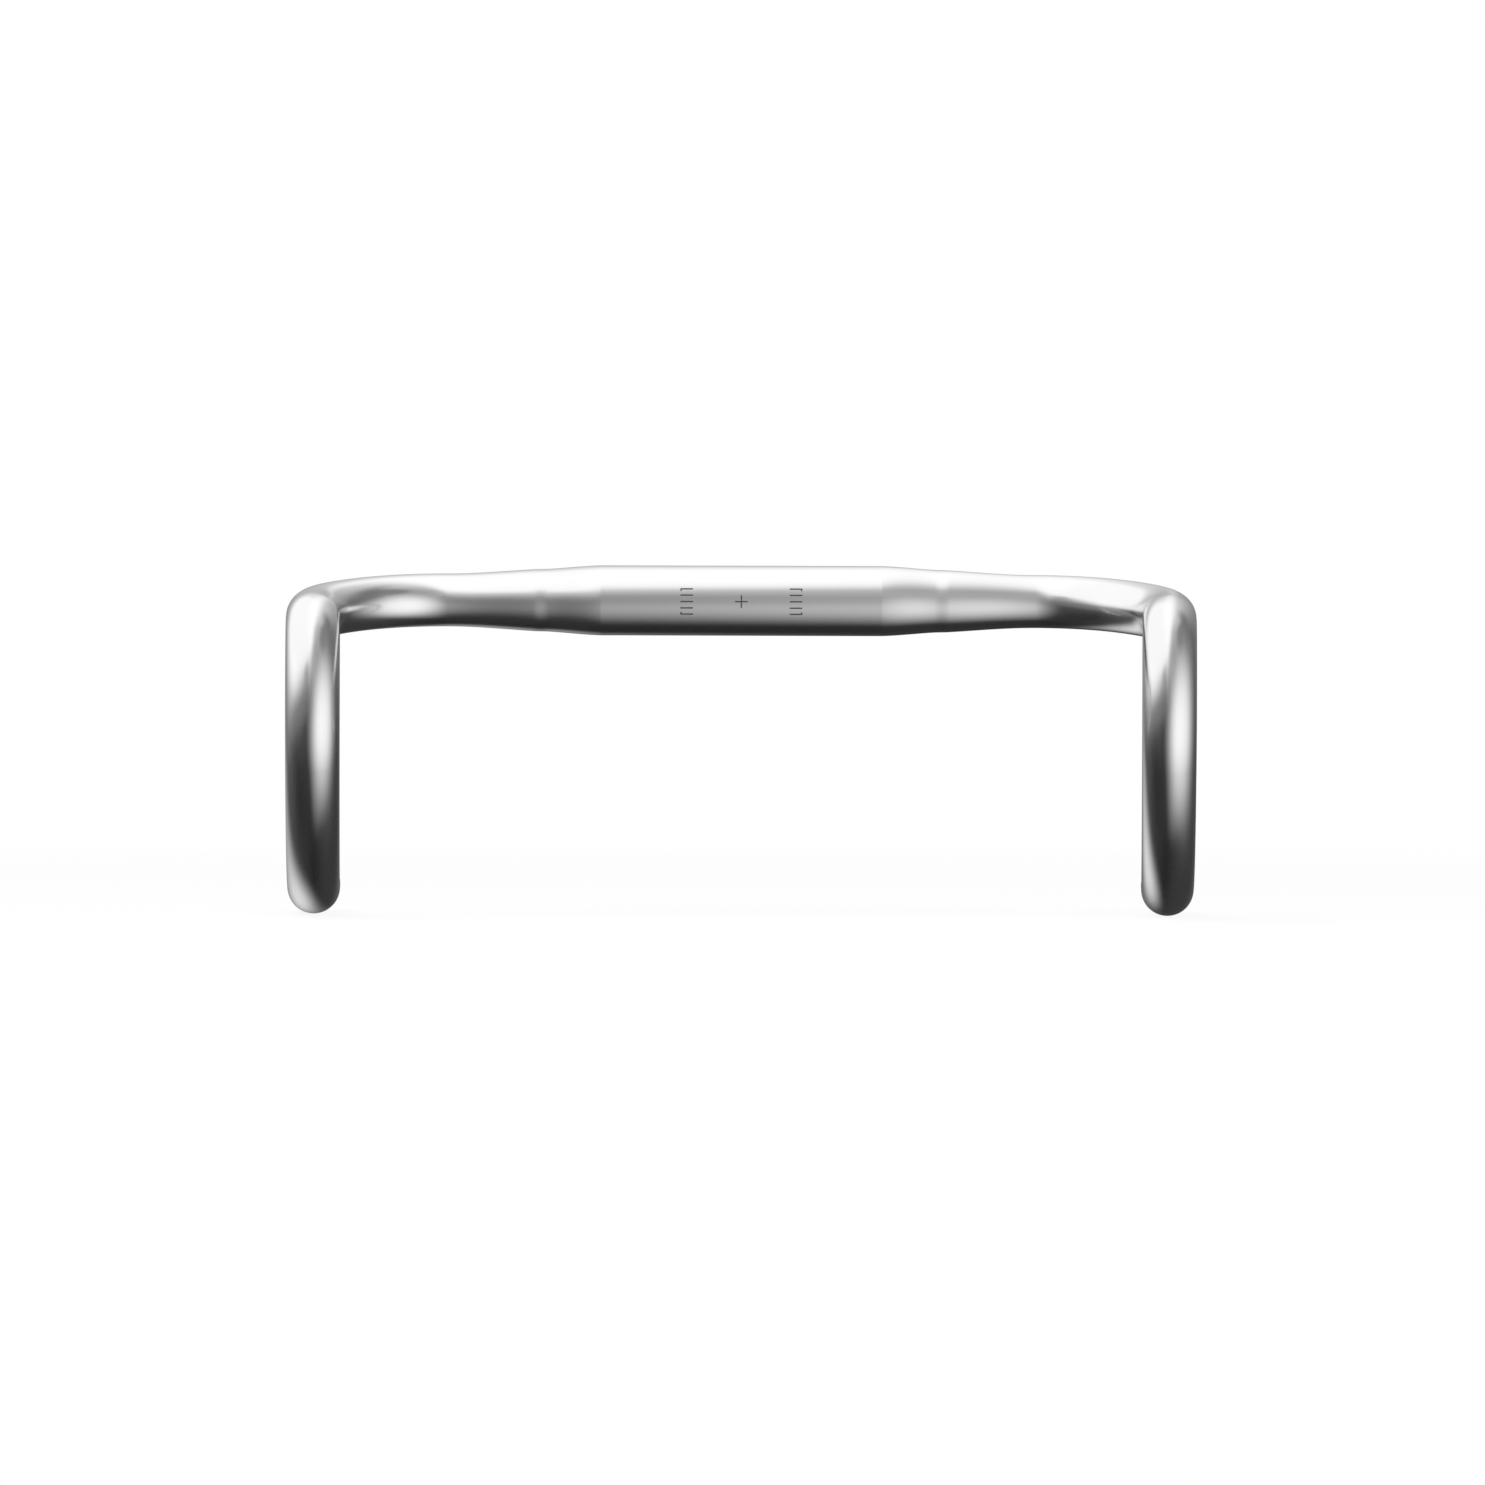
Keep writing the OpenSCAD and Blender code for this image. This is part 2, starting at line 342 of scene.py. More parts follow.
@dataclass
class Stretch:
    """A stretch of tube along a straight line or one arc. Lengths are in metres."""

    zone: str
    origin: Vector
    inward: Vector
    along: Vector
    start: float
    from_r: float
    to_r: float
    from_bore: float
    to_bore: float
    length: float = 0.0
    bend_r: float = 0.0
    turn: float = 0.0
    from_slope: float = 0.0
    to_slope: float = 0.0
    chamfer: float = 0.0
    roll: float = 0.0
    ring_step: float = 1.0 * MM

    @property
    def run(self) -> float:
        """Length along the axis."""
        return self.length + self.bend_r * self.turn

    def at(self, share: np.ndarray) -> tuple[np.ndarray, np.ndarray]:
        """Finds the axis at shares of the stretch.

        Args:
            share: Shares from 0 to 1, one for each wanted point.

        Returns:
            Points on the axis, and the directions of the axis there.
        """
        x, z = np.array(self.inward), np.array(self.along)
        angle = (share * self.turn)[:, None]
        forward = self.bend_r * np.sin(angle) + share[:, None] * self.length
        points = np.array(self.origin) + x * self.bend_r * (1 - np.cos(angle)) + z * forward
        return points, x * np.sin(angle) + z * np.cos(angle)

    def slope(self, share: np.ndarray) -> np.ndarray:
        """Works out how fast the outside radius grows along the axis.

        Args:
            share: Shares of the stretch from 0 to 1.

        Returns:
            Growth of the radius for each unit of length.
        """
        if not self.length:
            return np.zeros_like(share)
        rest = 1 - share
        return (6 * (self.to_r - self.from_r) * share * rest / self.length
                - self.from_slope * rest * (1 - 3 * share) + self.to_slope * share * (2 - 3 * share))

    def on_side(self, side: Side) -> "Stretch":
        """Mirrors the stretch to a side of the bar.

        Args:
            side: The side that it goes to, from the right.

        Returns:
            A new stretch with that side's name.
        """
        values = dict(vars(self))
        for key in ("origin", "inward", "along"):
            values[key] = side.mirrored(values[key])
        values["zone"] = f"{side.name.lower()}_{self.zone}"
        values["roll"] = self.roll * side.value
        return Stretch(**values)


@dataclass
class BarPath:
    """The sizes that drive the bar, in millimetres and degrees, and the stretches that follow."""

    width: float = 398
    reach: float = 82
    drop: float = 131.5
    outsweep: float = 4
    clamp_d: float = 31.8
    clamp_len: float = 127
    clamp_wall: float = 2.2
    tube_d: float = 24
    tube_wall: float = 1.6
    neck_d: float = 28.3
    neck_len: float = 7
    neck_slope: float = 0.03
    taper_slope: float = 0.06
    taper_start_slope: float = 0.025  # a drawn tube eases out of its clamp zone
    neck_share: float = 0.393
    drop_end_len: float = 38
    end_chamfer: float = 0.5
    corner_r: float = 57
    corner_turn: float = 44.5
    shoulder_r: float = 74
    shoulder_turn: float = 14
    ramp_r: float = 42
    corner_tilt: float = 9.3
    knuckle_r: float = 18.5
    knuckle_slope: float = 63.5
    hook_r: float = 54
    hook_slope: float = 121
    drop_end_rise: float = 1

    def _fitted(self, across: float, ramp: float, tilt: float) -> tuple[float, float]:
        """Finds the ramp length that gives the reach and the lower hook radius that gives the drop.

        Args:
            across: How far the corner bend runs across the bar, in its own plane.
            ramp: Slope of the ramp below level, in radians.
            tilt: Tilt of the plane of the corner bend, in radians.

        Returns:
            Length of the straight ramp and radius of the lower hook.
        """
        knuckle, hook = math.radians(self.knuckle_slope), math.radians(self.hook_slope)
        forward = (self.reach - across * math.cos(tilt)) / math.cos(math.radians(self.outsweep))
        ramp_len = (forward - self.knuckle_r * (math.sin(knuckle) - math.sin(ramp))
                    - self.hook_r * (1 - math.sin(knuckle))) / math.cos(ramp)
        down = (self.drop - across * math.sin(tilt) - ramp_len * math.sin(ramp)
                - self.knuckle_r * (math.cos(ramp) - math.cos(knuckle))
                - self.hook_r * (math.cos(knuckle) - math.cos(hook)))
        return ramp_len, down / (1 + math.cos(hook))

    def right_half(self) -> list[Stretch]:
        """Works out the stretches of the right half, from the clamp zone out to the open end.

        Returns:
            The stretches in order, in metres.
        """
        tilt, sweep = math.radians(self.corner_tilt), math.radians(self.outsweep)
        hook_slopes = [math.radians(v) for v in (self.knuckle_slope, self.hook_slope,
                                                 180 + self.drop_end_rise)]
        turns = [0.0, math.radians(self.corner_turn),
                 math.radians(self.corner_turn + self.shoulder_turn),
                 math.pi / 2 + math.atan(math.tan(sweep) * math.cos(tilt))]
        radii = (self.corner_r, self.shoulder_r, self.ramp_r)
        corner_along = sum(r * (math.sin(b) - math.sin(a)) for r, a, b in zip(radii, turns, turns[1:]))
        across = sum(r * (math.cos(a) - math.cos(b)) for r, a, b in zip(radii, turns, turns[1:]))
        ramp = math.asin(math.sin(turns[3]) * math.sin(tilt))
        ramp_len, lower_hook_r = self._fitted(across, ramp, tilt)
        hook_slopes.insert(0, ramp)
        hook_radii = (self.knuckle_r, self.hook_r, lower_hook_r)
        end_forward = (ramp_len * math.cos(ramp) + self.drop_end_len * math.cos(hook_slopes[-1])
                       + sum(r * (math.sin(b) - math.sin(a))
                             for r, a, b in zip(hook_radii, hook_slopes, hook_slopes[1:])))
        bend_start = self.width / 2 - corner_along + end_forward * math.sin(sweep)
        clamp_end = self.clamp_len / 2
        neck_x = clamp_end + self.neck_share * (bend_start - clamp_end) - self.neck_len / 2

        clamp_r, tube_r = self.clamp_d / 2, self.tube_d / 2
        neck = tuple((self.neck_d + way * self.neck_slope * self.neck_len) / 2 for way in (1, -1))
        clamp_bore, tube_bore = clamp_r - self.clamp_wall, tube_r - self.tube_wall
        neck_bore = tuple(r - (self.clamp_wall + self.tube_wall) / 2 for r in neck)

        place = Vector((clamp_end, 0, 0))
        inward, along = Vector((0, -math.cos(tilt), -math.sin(tilt))), Vector((1, 0, 0))
        start, roll = clamp_end, 0.0
        made: list[Stretch] = []

        def put(zone: str, length: float = 0, bend_r: float = 0, turn: float = 0,
                outside: tuple[float, float] = (tube_r, tube_r),
                bore: tuple[float, float] = (tube_bore, tube_bore), **rest: float) -> None:
            """Adds a stretch where the last one ended and moves on to its end.

            Args:
                zone: Name of the formed zone.
                length: Straight length, or 0 in a bend.
                bend_r: Radius of the bend's axis.
                turn: Angle of the bend, in radians.
                outside: Outside radius where the stretch starts and ends.
                bore: Bore radius where the stretch starts and ends.
                **rest: Other values of the stretch.
            """
            nonlocal place, inward, along, start
            stretch = Stretch(
                zone, place * MM, inward.copy(), along.copy(), start * MM, outside[0] * MM,
                outside[1] * MM, bore[0] * MM, bore[1] * MM, length * MM, bend_r * MM, turn,
                roll=roll, **rest)
            made.append(stretch)
            side_axis = along.cross(inward)
            place = (place + inward * bend_r * (1 - math.cos(turn))
                     + along * (bend_r * math.sin(turn) + length))
            along = inward * math.sin(turn) + along * math.cos(turn)
            inward = side_axis.cross(along)
            start += length + bend_r * turn

        put("inner_taper", neck_x - clamp_end, outside=(clamp_r, neck[0]),
            bore=(clamp_bore, neck_bore[0]), from_slope=self.taper_start_slope,
            to_slope=self.taper_slope)
        put("neck", self.neck_len, outside=neck, bore=neck_bore, from_slope=self.taper_slope,
            to_slope=self.taper_slope)
        put("outer_taper", bend_start - neck_x - self.neck_len, outside=(neck[1], tube_r),
            bore=(neck_bore[1], tube_bore), from_slope=self.taper_slope)
        for zone, bend_r, a, b in zip(("corner_bend", "shoulder_bend", "ramp_bend"), radii, turns,
                                      turns[1:]):
            put(zone, bend_r=bend_r, turn=b - a)
        put("ramp", ramp_len)
        hook_inward = Vector((math.cos(sweep), -math.sin(sweep), 0)).cross(along)
        roll = math.atan2(along.dot(inward.cross(hook_inward)), inward.dot(hook_inward))
        inward = hook_inward
        for zone, bend_r, a, b in zip(("knuckle_bend", "hook_bend", "lower_hook"), hook_radii,
                                      hook_slopes, hook_slopes[1:]):
            put(zone, bend_r=bend_r, turn=b - a)
        put("drop_end", self.drop_end_len, chamfer=self.end_chamfer * MM,
            ring_step=self.end_chamfer * MM)
        return made

    def clamp_section(self) -> Stretch:
        """Gives the straight clamp zone in the middle of the bar."""
        tilt, half = math.radians(self.corner_tilt), self.clamp_len / 2 * MM
        clamp_r = self.clamp_d / 2 * MM
        bore = clamp_r - self.clamp_wall * MM
        return Stretch("clamp_section", Vector((-half, 0, 0)),
                       Vector((0, -math.cos(tilt), -math.sin(tilt))), Vector((1, 0, 0)), -half,
                       clamp_r, clamp_r, bore, bore, 2 * half, ring_step=2 * MM)


@dataclass
class FormedTube:
    """The aluminium tube: sweeps each stretch, and gives it exact normals and its finishes."""

    path: BarPath = field(default_factory=BarPath)
    outside: Finish = field(default_factory=SatinAnodisedAluminium)
    inside: Finish = field(default_factory=RawDrawnAluminium)
    sides: int = 96
    weld: float = 0.002 * MM

    def sweep_tree(self) -> bpy.types.NodeTree:
        """Builds the tree that sweeps a closed tube wall from one flat grid.

        The grid's X runs out along the outside, over the end, back along the bore and over the other
        end. Its Y runs around the tube. The joins are then merged.

        Returns:
            The tree, whose inputs are the sizes of one stretch.
        """
        real, whole, vector = "NodeSocketFloat", "NodeSocketInt", "NodeSocketVector"
        tree, known = new_tree("tube_stretch", (
            ("Rings", whole), ("Sides", whole), ("Length", real), ("Bend Radius", real),
            ("Turn", real), ("From Radius", real), ("To Radius", real), ("From Slope", real),
            ("To Slope", real), ("From Bore", real), ("To Bore", real), ("Chamfer", real),
            ("Start", real), ("Run", real), ("Sense", real), ("Roll", real), ("Origin", vector),
            ("Inward", vector), ("Along", vector), ("Finish", "NodeSocketMaterial")))
        add_steps(tree, known, (
            ("rows", *ADD, {0: "@given.Rings", 1: 1}),
            ("grid_x", *MULTIPLY, {0: "@rows", 1: 2}),
            ("count_x", *ADD, {0: "@grid_x", 1: 1}),
            ("count_y", *ADD, {0: "@given.Sides", 1: 1}),
            ("grid", "GeometryNodeMeshGrid", {}, {
                "Size X": "@grid_x", "Size Y": "@given.Sides",
                "Vertices X": "@count_x", "Vertices Y": "@count_y"}),
            ("spot", "GeometryNodeInputPosition", {}, {}),
            ("cell", "ShaderNodeSeparateXYZ", {}, {0: "@spot"}),
            # the ring that a row belongs to, counted out along the outside and back along the bore
            ("row", *ADD, {0: "@cell.X", 1: "@rows"}),
            ("row_middle", *ADD, {0: "@row", 1: 0.5}),
            ("folded", *PINGPONG, {0: "@row_middle", 1: "@rows"}),
            ("ring", *SUBTRACT, {0: "@folded", 1: 0.5}),
            ("share", *DIVIDE, {0: "@ring", 1: "@given.Rings"}),
            ("rest", *SUBTRACT, {0: 1, 1: "@share"}),
            ("half_rings", *MULTIPLY, {0: "@given.Rings", 1: 0.5}),
            ("bore_rows", *ADD, {0: "@half_rings", 1: 0.25}),
            ("is_bore", *COMPARE, {0: "@cell.X", 1: "@half_rings", 2: "@bore_rows"}),
            # the angle around the tube and the angle along the bend
            ("round", *MULTIPLY, {0: "@cell.Y", 1: -math.tau}),
            ("phi", *DIVIDE, {0: "@round", 1: "@given.Sides"}),
            ("cos_phi", *COSINE, {0: "@phi"}),
            ("sin_phi", *SINE, {0: "@phi"}),
            ("theta", *MULTIPLY, {0: "@share", 1: "@given.Turn"}),
            ("cos_theta", *COSINE, {0: "@theta"}),
            ("sin_theta", *SINE, {0: "@theta"}),
            # the outside radius: a cubic that leaves and arrives at the given slopes
            ("change", *SUBTRACT, {0: "@given.To Radius", 1: "@given.From Radius"}),
            ("falling", *MULTIPLY_ADD, {0: "@share", 1: -2, 2: 3}),
            ("squared", *MULTIPLY, {0: "@share", 1: "@share"}),
            ("ease", *MULTIPLY, {0: "@falling", 1: "@squared"}),
            ("eased_r", *MULTIPLY_ADD, {0: "@change", 1: "@ease", 2: "@given.From Radius"}),
            ("leaving", *MULTIPLY, {0: "@given.From Slope", 1: "@rest"}),
            ("arriving", *MULTIPLY, {0: "@given.To Slope", 1: "@share"}),
            ("slopes", *SUBTRACT, {0: "@leaving", 1: "@arriving"}),
            ("to_go", *MULTIPLY, {0: "@rest", 1: "@given.Length"}),
            ("lever", *MULTIPLY, {0: "@to_go", 1: "@share"}),
            ("bulge", *MULTIPLY, {0: "@slopes", 1: "@lever"}),
            ("cubic_r", *SUBTRACT, {0: "@eased_r", 1: "@bulge"}),
            ("mouth_r", *SUBTRACT, {0: "@given.To Radius", 1: "@given.Chamfer"}),
            ("chamfer_r", *ADD, {0: "@mouth_r", 1: "@to_go"}),
            ("outside_r", *MINIMUM, {0: "@cubic_r", 1: "@chamfer_r"}),
            ("bore_change", *SUBTRACT, {0: "@given.To Bore", 1: "@given.From Bore"}),
            ("bore_r", *MULTIPLY_ADD, {0: "@bore_change", 1: "@share", 2: "@given.From Bore"}),
            ("radius", "ShaderNodeMix", {"data_type": "FLOAT"}, {
                "Factor": "@is_bore", "A": "@outside_r", "B": "@bore_r"}),
            # the place in the stretch's own frame
            ("out_x", *MULTIPLY, {0: "@radius.Result", 1: "@cos_phi"}),
            ("out_y", *MULTIPLY, {0: "@radius.Result", 1: "@sin_phi"}),
            ("from_centre", *SUBTRACT, {0: "@given.Bend Radius", 1: "@out_x"}),
            ("swung", *MULTIPLY, {0: "@from_centre", 1: "@cos_theta"}),
            ("x", *SUBTRACT, {0: "@given.Bend Radius", 1: "@swung"}),
            ("straight", *MULTIPLY, {0: "@share", 1: "@given.Length"}),
            ("z", *MULTIPLY_ADD, {0: "@from_centre", 1: "@sin_theta", 2: "@straight"}),
            ("own_place", "ShaderNodeCombineXYZ", {}, {"X": "@x", "Y": "@out_y", "Z": "@z"}),
            ("turning", "FunctionNodeAxesToRotation",
             {"primary_axis": "Z", "secondary_axis": "X"},
             {"Primary Axis": "@given.Along", "Secondary Axis": "@given.Inward"}),
            ("turned", "FunctionNodeRotateVector", {}, {
                "Vector": "@own_place", "Rotation": "@turning"}),
            ("placed", "ShaderNodeVectorMath", {"operation": "ADD"}, {
                0: "@turned", 1: "@given.Origin"}),
            # the same point on the tube as it was drawn, before it was bent, for the die lines
            ("drawn_phi", *ADD, {0: "@phi", 1: "@given.Roll"}),
            ("drawn_cos", *COSINE, {0: "@drawn_phi"}),
            ("drawn_sin", *SINE, {0: "@drawn_phi"}),
            ("drawn_x", *MULTIPLY, {0: "@radius.Result", 1: "@drawn_cos"}),
            ("drawn_r", *MULTIPLY, {0: "@radius.Result", 1: "@drawn_sin"}),
            ("drawn_y", *MULTIPLY, {0: "@drawn_r", 1: "@given.Sense"}),
            ("drawn_run", *MULTIPLY_ADD, {0: "@share", 1: "@given.Run", 2: "@given.Start"}),
            ("drawn_z", *MULTIPLY, {0: "@drawn_run", 1: "@given.Sense"}),
            ("drawn", "ShaderNodeCombineXYZ", {}, {
                "X": "@drawn_x", "Y": "@drawn_y", "Z": "@drawn_z"}),
            ("marked", "GeometryNodeStoreNamedAttribute",
             {"data_type": "FLOAT_VECTOR", "domain": "POINT"},
             {"Geometry": "@grid", "Name": "drawn_space", "Value": "@drawn"}),
            ("shaped", "GeometryNodeSetPosition", {}, {
                "Geometry": "@marked", "Position": "@placed"}),
            ("closed", "GeometryNodeMergeByDistance", {}, {
                "Geometry": "@shaped", "Distance": self.weld}),
            ("smooth", "GeometryNodeSetShadeSmooth", {}, {"Geometry": "@closed"}),
            ("realised", "GeometryNodeRealizeInstances", {}, {"Geometry": "@smooth"}),
            ("dressed", "GeometryNodeSetMaterial", {}, {
                "Geometry": "@realised", "Material": "@given.Finish"}),
            ("out", "NodeGroupOutput", {}, {"Geometry": "@dressed"}),
        ))
        return tree

    def sweep(self, tree: bpy.types.NodeTree, stretch: Stretch, side: Side) -> bpy.types.Object:
        """Makes one stretch of tube as a plain mesh.

        Args:
            tree: The sweep tree.
            stretch: Where the stretch is, and its sizes.
            side: The side of the bar that it is on.

        Returns:
            The new piece.
        """
        rings = max(1, math.ceil(stretch.run / stretch.ring_step - 0.01))
        piece = apply_tree(f"{stretch.zone}_tube", [(tree, {
            "Rings": rings, "Sides": self.sides, "Length": stretch.length,
            "Bend Radius": stretch.bend_r, "Turn": stretch.turn, "From Radius": stretch.from_r,
            "To Radius": stretch.to_r, "From Slope": stretch.from_slope,
            "To Slope": stretch.to_slope, "From Bore": stretch.from_bore,
            "To Bore": stretch.to_bore, "Chamfer": stretch.chamfer, "Start": stretch.start,
            "Run": stretch.run, "Sense": side.value, "Roll": stretch.roll,
            "Origin": stretch.origin, "Inward": stretch.inward, "Along": stretch.along,
            "Finish": self.outside.material()})])
        self._finish_shell(piece.data, stretch, side)
        return piece

    def _finish_shell(self, mesh: bpy.types.Mesh, stretch: Stretch, side: Side) -> None:
        """Gives a stretch its exact normals and puts the raw finish on its bore.

        The normals are those of the true surface, so that no seam shows between two stretches.

        Args:
            mesh: The stretch's mesh.
            stretch: Where the stretch is, and its sizes.
            side: The side of the bar that it is on.
        """
        def read(items: bpy.types.bpy_prop_collection, key: str, width: int) -> np.ndarray:
            """Reads one property of every item.

            Args:
                items: The mesh's vertices, corners, faces or attribute values.
                key: The property's name.
                width: How many numbers it holds: 3 for a vector and 1 for a whole number.

            Returns:
                One row for each item.
            """
            values = np.empty(len(items) * width, np.float32 if width == 3 else np.int32)
            items.foreach_get(key, values)
            return values.astype(float if width == 3 else int).reshape(-1, width)

        places = read(mesh.vertices, "co", 3)
        drawn = read(mesh.attributes["drawn_space"].data, "vector", 3)
        share = np.clip((drawn[:, 2] * side.value - stretch.start) / stretch.run, 0, 1)
        axis, tangent = stretch.at(share)
        radial = places - axis
        radial /= np.linalg.norm(radial, axis=1, keepdims=True)
        outer = radial - stretch.slope(share)[:, None] * tangent
        bore_slope = (stretch.to_bore - stretch.from_bore) / stretch.run
        inner = bore_slope * tangent - radial

        corners = read(mesh.loops, "vertex_index", 1)[:, 0]
        sizes = read(mesh.polygons, "loop_total", 1)[:, 0]
        face_normals = read(mesh.polygons, "normal", 3)
        flat = np.repeat(face_normals, sizes, axis=0)
        facing = (flat * radial[corners]).sum(axis=1)[:, None]
        wall_facing, chamfer_facing = 0.9, 0.5
        normals = np.where(
            facing > wall_facing, outer[corners], np.where(
                facing < -wall_facing, inner[corners], np.where(
                    facing > chamfer_facing, radial[corners] + tangent[corners], flat)))
        normals /= np.linalg.norm(normals, axis=1, keepdims=True)
        mesh.normals_split_custom_set(normals.tolist())

        first_corner = np.concatenate(([0], np.cumsum(sizes)[:-1]))
        set_finishes(mesh, [self.outside.material(), self.inside.material()],
                     facing[first_corner, 0] < -wall_facing)

    def build(self) -> list[bpy.types.Object]:
        """Builds every stretch of the tube and puts it in place of its CAD node.

        Returns:
            The new pieces.
        """
        tree = self.sweep_tree()
        work = [(self.path.clamp_section(), Side.RIGHT)]
        for side in Side:
            work += [(stretch.on_side(side), side) for stretch in self.path.right_half()]
        pieces = []
        for stretch, side in work:
            piece = self.sweep(tree, stretch, side)
            hand_over(piece, stretch.zone)
            pieces.append(piece)
        return pieces


@dataclass
class AlignmentMarks:
    """The printed cross and angle scales on the front of the clamp zone, in millimetres and degrees."""

    clamp_d: float = 31.8
    mark_len: float = 5.7
    mark_line: float = 0.6
    mark_ink: float = 0.05
    scale_x: float = 24.7
    tick_step: float = 10.5
    ticks_each_way: int = 2
    mark_serif: float = 1.3
    mark_lowered: float = 3
    ink: Finish = field(default_factory=PadPrintedInk)

    def line_tree(self) -> bpy.types.NodeTree:
        """Builds the tree that lays a row of equal printed lines around the clamp zone.

        Returns:
            The tree. It adds its lines to the geometry that it is given.
        """
        real = "NodeSocketFloat"
        tree, known = new_tree("printed_lines", (
            ("Geometry", "NodeSocketGeometry"), ("Count", "NodeSocketInt"), ("Step", real),
            ("Middle X", real), ("Line Length", real), ("Line Height", real),
            ("Surface Radius", real), ("Thickness", real), ("Lowered", real),
            ("Finish", "NodeSocketMaterial")))
        add_steps(tree, known, (
            ("size", "ShaderNodeCombineXYZ", {}, {
                "X": "@given.Line Length", "Y": "@given.Thickness", "Z": "@given.Line Height"}),
            ("block", "GeometryNodeMeshCube", {}, {
                "Size": "@size", "Vertices X": 2, "Vertices Y": 2, "Vertices Z": 9}),
            ("spot", "GeometryNodeInputPosition", {}, {}),
            ("cell", "ShaderNodeSeparateXYZ", {}, {0: "@spot"}),
            ("angle", *DIVIDE, {0: "@cell.Z", 1: "@given.Surface Radius"}),
            ("sine", *SINE, {0: "@angle"}),
            ("cosine", *COSINE, {0: "@angle"}),
            ("film", *MULTIPLY_ADD, {0: "@given.Thickness", 1: 0.5, 2: "@given.Surface Radius"}),
            ("radius", *SUBTRACT, {0: "@film", 1: "@cell.Y"}),
            ("front", *MULTIPLY, {0: "@radius", 1: "@cosine"}),
            ("y", *MULTIPLY, {0: "@front", 1: -1}),
            ("z", *MULTIPLY, {0: "@radius", 1: "@sine"}),
            ("bent", "ShaderNodeCombineXYZ", {}, {"X": "@cell.X", "Y": "@y", "Z": "@z"}),
            ("line", "GeometryNodeSetPosition", {}, {"Geometry": "@block", "Position": "@bent"}),
            ("row_at", "ShaderNodeCombineXYZ", {}, {"X": "@given.Middle X"}),
            ("row", "GeometryNodePoints", {}, {"Count": "@given.Count", "Position": "@row_at"}),
            ("number", "GeometryNodeInputIndex", {}, {}),
            ("last", *SUBTRACT, {0: "@given.Count", 1: 1}),
            ("middle", *MULTIPLY, {0: "@last", 1: 0.5}),
            ("steps", *SUBTRACT, {0: "@middle", 1: "@number"}),
            ("lean", *MULTIPLY_ADD, {0: "@steps", 1: "@given.Step", 2: "@given.Lowered"}),
            ("turn", "ShaderNodeCombineXYZ", {}, {"X": "@lean"}),
            ("turning", "FunctionNodeEulerToRotation", {}, {"Euler": "@turn"}),
            ("lines", "GeometryNodeInstanceOnPoints", {}, {
                "Points": "@row", "Instance": "@line", "Rotation": "@turning"}),
            ("realised", "GeometryNodeRealizeInstances", {}, {"Geometry": "@lines"}),
            ("dressed", "GeometryNodeSetMaterial", {}, {
                "Geometry": "@realised", "Material": "@given.Finish"}),
            ("joined", "GeometryNodeJoinGeometry", {}, {"Geometry": "@dressed"}),
            ("out", "NodeGroupOutput", {}, {"Geometry": "@joined"}),
        ))
        tree.links.new(known["given"].outputs["Geometry"], known["joined"].inputs[0])
        return tree

    def _row(self, tree: bpy.types.NodeTree, count: int, step: float, middle_x: float,
             line_len: float, line_height: float) -> tuple[bpy.types.NodeTree, dict]:
        """Gives the tree with the values for one row of lines, from millimetres and radians."""
        return tree, {
            "Count": count, "Step": step, "Middle X": middle_x * MM, "Line Length": line_len * MM,
            "Line Height": line_height * MM, "Surface Radius": self.clamp_d / 2 * MM,
            "Thickness": self.mark_ink * MM, "Lowered": math.radians(self.mark_lowered),
            "Finish": self.ink.material()}

    def build(self) -> list[bpy.types.Object]:
        """Builds the cross and the two angle scales in place of their CAD nodes.

        Returns:
            The new pieces.
        """
        tree = self.line_tree()
        radius = self.clamp_d / 2
        arm = (self.mark_len - self.mark_line) / 2
        arm_step = (arm + self.mark_line) / radius
        cross = apply_tree("centre_mark_print", [
            self._row(tree, 1, 0.0, 0.0, self.mark_len, self.mark_line),
            self._row(tree, 2, arm_step, 0.0, self.mark_line, arm)])
        hand_over(cross, "centre_mark")
        pieces = [cross]
        tick = math.radians(self.tick_step)
        serif = self.mark_serif - self.mark_line
        serif_step = 2 * (tick * self.ticks_each_way - self.mark_serif / 2 / radius)
        serif_x = self.scale_x + (self.mark_len - self.mark_line) / 2
        for side in Side:
            name = f"{side.name.lower()}_angle_scale"
            scale = apply_tree(f"{name}_print", [
                self._row(tree, 2 * self.ticks_each_way + 1, tick, side.value * self.scale_x,
                          self.mark_len, self.mark_line),
                self._row(tree, 2, serif_step, side.value * serif_x, self.mark_line, serif)])
            hand_over(scale, name)
            pieces.append(scale)
        return pieces


def hand_over(piece: bpy.types.Object, node: str) -> None:
    """Puts a piece in place of a CAD node and reports how well their boxes agree.

    Args:
        piece: The finished piece.
        node: The CAD node that it stands for.
    """
    low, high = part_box(node)
    corners = np.array([v.co[:] for v in piece.data.vertices])
    off = max(np.abs(corners.min(0) - np.array(low)).max(), np.abs(corners.max(0) - np.array(high)).max())
    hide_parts(node)
    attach(piece, BODY)
    LOG.info("%s: %d faces, within %.3f mm of its CAD box", piece.name, len(piece.data.polygons),
             off / MM)
    if off > BOX_TOLERANCE:
        LOG.warning("%s is %.2f mm away from %s", piece.name, off / MM, node)


@dataclass(frozen=True)
class SoftPanel:
    """A soft-edged panel of light in the tent, given by directions from the bar in degrees.

    Azimuth 0 is the camera's side and 90 the bar's right end; elevation is above level.
    """

    azimuth: float
    elevation: float
    half_width: float
    half_height: float
    edge: float
    glow: float


@dataclass(frozen=True)
class SoftLamp:
    """A square area lamp that faces the bar. Places and sizes are in metres, power in watts."""

    name: str
    place: tuple[float, float, float]
    size: float
    power: float


